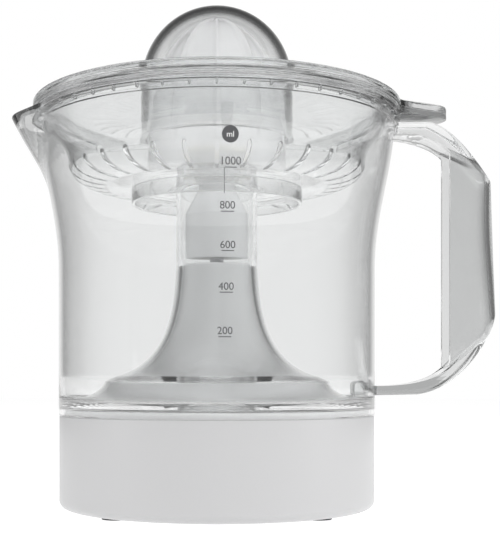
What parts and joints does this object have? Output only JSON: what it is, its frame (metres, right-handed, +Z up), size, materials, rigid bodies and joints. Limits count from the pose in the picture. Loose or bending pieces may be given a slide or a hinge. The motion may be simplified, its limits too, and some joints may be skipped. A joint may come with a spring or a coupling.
{
  "type": "citrus press juicer",
  "caption": "Motor base with a flared tower that carries a clear measuring jug, a slotted strainer, a ribbed reamer and a domed dust cover.",
  "frame": {"origin": "the tower's axis, in the plane that the rubber feet stand on", "axes": "+Z up along the tower's axis; +X towards the jug's handle, -X towards its spout; +Y towards the back, where the cord channel leaves the base"},
  "size_m": [0.2152, 0.1624, 0.2226],
  "materials": {
    "white_plastic": "gloss",
    "clear_plastic": "clear, gloss",
    "frosted_plastic": "translucent, satin",
    "black_rubber": "matt",
    "steel": "brushed",
    "copper_wire": "enamelled winding",
    "bronze": "sintered",
    "ferrite": "ground",
    "nylon": "natural",
    "black_plastic": "moulded",
    "red_plastic": "moulded"
  },
  "bodies": {
    "base": {"base_shell": "white_plastic", "motor_cover": "white_plastic", "bottom_cover": "white_plastic", "mount_plate": "white_plastic", "cord_spool": "white_plastic", "rubber_feet": "black_rubber", "housing_screws": "steel", "cord_gland": "black_rubber", "motor_can": "steel", "motor_coil": "copper_wire", "gearbox_plate": "steel", "gearbox_lid": "steel", "gearbox_screws": "steel", "idler_pin": "steel", "spindle_bushes": "bronze", "switch_case": "black_plastic", "return_spring": "steel"},
    "rotor": {"rotor_magnet": "ferrite", "rotor_pinion": "steel"},
    "idler": {"idler_gear": "nylon"},
    "carrier": {"spindle_carrier": "nylon"},
    "drive": {"spindle_rod": "steel", "output_gear": "nylon", "spindle_clip": "steel", "drive_hub": "white_plastic"},
    "button": {"switch_button": "red_plastic"},
    "pouring_jug": {"jug": "clear_plastic", "jug_handle": "clear_plastic"},
    "sieve": {"strainer": "clear_plastic"},
    "bush": {"reamer_bush": "nylon"},
    "reamer": {"reamer_cone": "frosted_plastic"},
    "lid": {"dust_cover": "clear_plastic"}
  },
  "joints": [
    {"name": "spindle_press", "type": "slide", "parent": "base", "child": "carrier", "axis": [0, 0, 1], "range_m": [-0.0015, 0], "stiffness_N_per_m": 1000, "springref_m": 0.005, "deforming": ["return_spring"]},
    {"name": "drive_spin", "type": "hinge", "parent": "carrier", "child": "drive", "pos_m": [0, 0, 0.11], "axis": [0, 0, 1], "continuous": true},
    {"name": "idler_spin", "type": "hinge", "parent": "base", "child": "idler", "pos_m": [-0.015, 0.0147, 0.045], "axis": [0, 0, 1], "continuous": true},
    {"name": "rotor_spin", "type": "hinge", "parent": "base", "child": "rotor", "pos_m": [-0.03, 0, 0.03], "axis": [0, 0, 1], "continuous": true},
    {"name": "button_press", "type": "slide", "parent": "base", "child": "button", "axis": [0, 0, 1], "range_m": [-0.0015, 0]},
    {"name": "jug_lift", "type": "slide", "parent": "base", "child": "pouring_jug", "axis": [0, 0, 1], "range_m": [0, 0.145]},
    {"name": "strainer_lift", "type": "slide", "parent": "pouring_jug", "child": "sieve", "axis": [0, 0, 1], "range_m": [0, 0.045]},
    {"name": "reamer_press", "type": "slide", "parent": "sieve", "child": "bush", "axis": [0, 0, 1], "range_m": [-0.0015, 0]},
    {"name": "reamer_spin", "type": "hinge", "parent": "bush", "child": "reamer", "pos_m": [0, 0, 0.16], "axis": [0, 0, 1], "continuous": true},
    {"name": "cover_lift", "type": "slide", "parent": "sieve", "child": "lid", "axis": [0, 0, 1], "range_m": [0, 0.06]}
  ],
  "couplings": [
    {"joint": "idler_spin", "follows": "drive_spin", "ratio": -2.5},
    {"joint": "rotor_spin", "follows": "drive_spin", "ratio": 6.25},
    {"joint": "button_press", "follows": "spindle_press", "ratio": 1},
    {"joint": "reamer_press", "follows": "spindle_press", "ratio": 1},
    {"joint": "reamer_spin", "follows": "drive_spin", "ratio": 1}
  ]
}
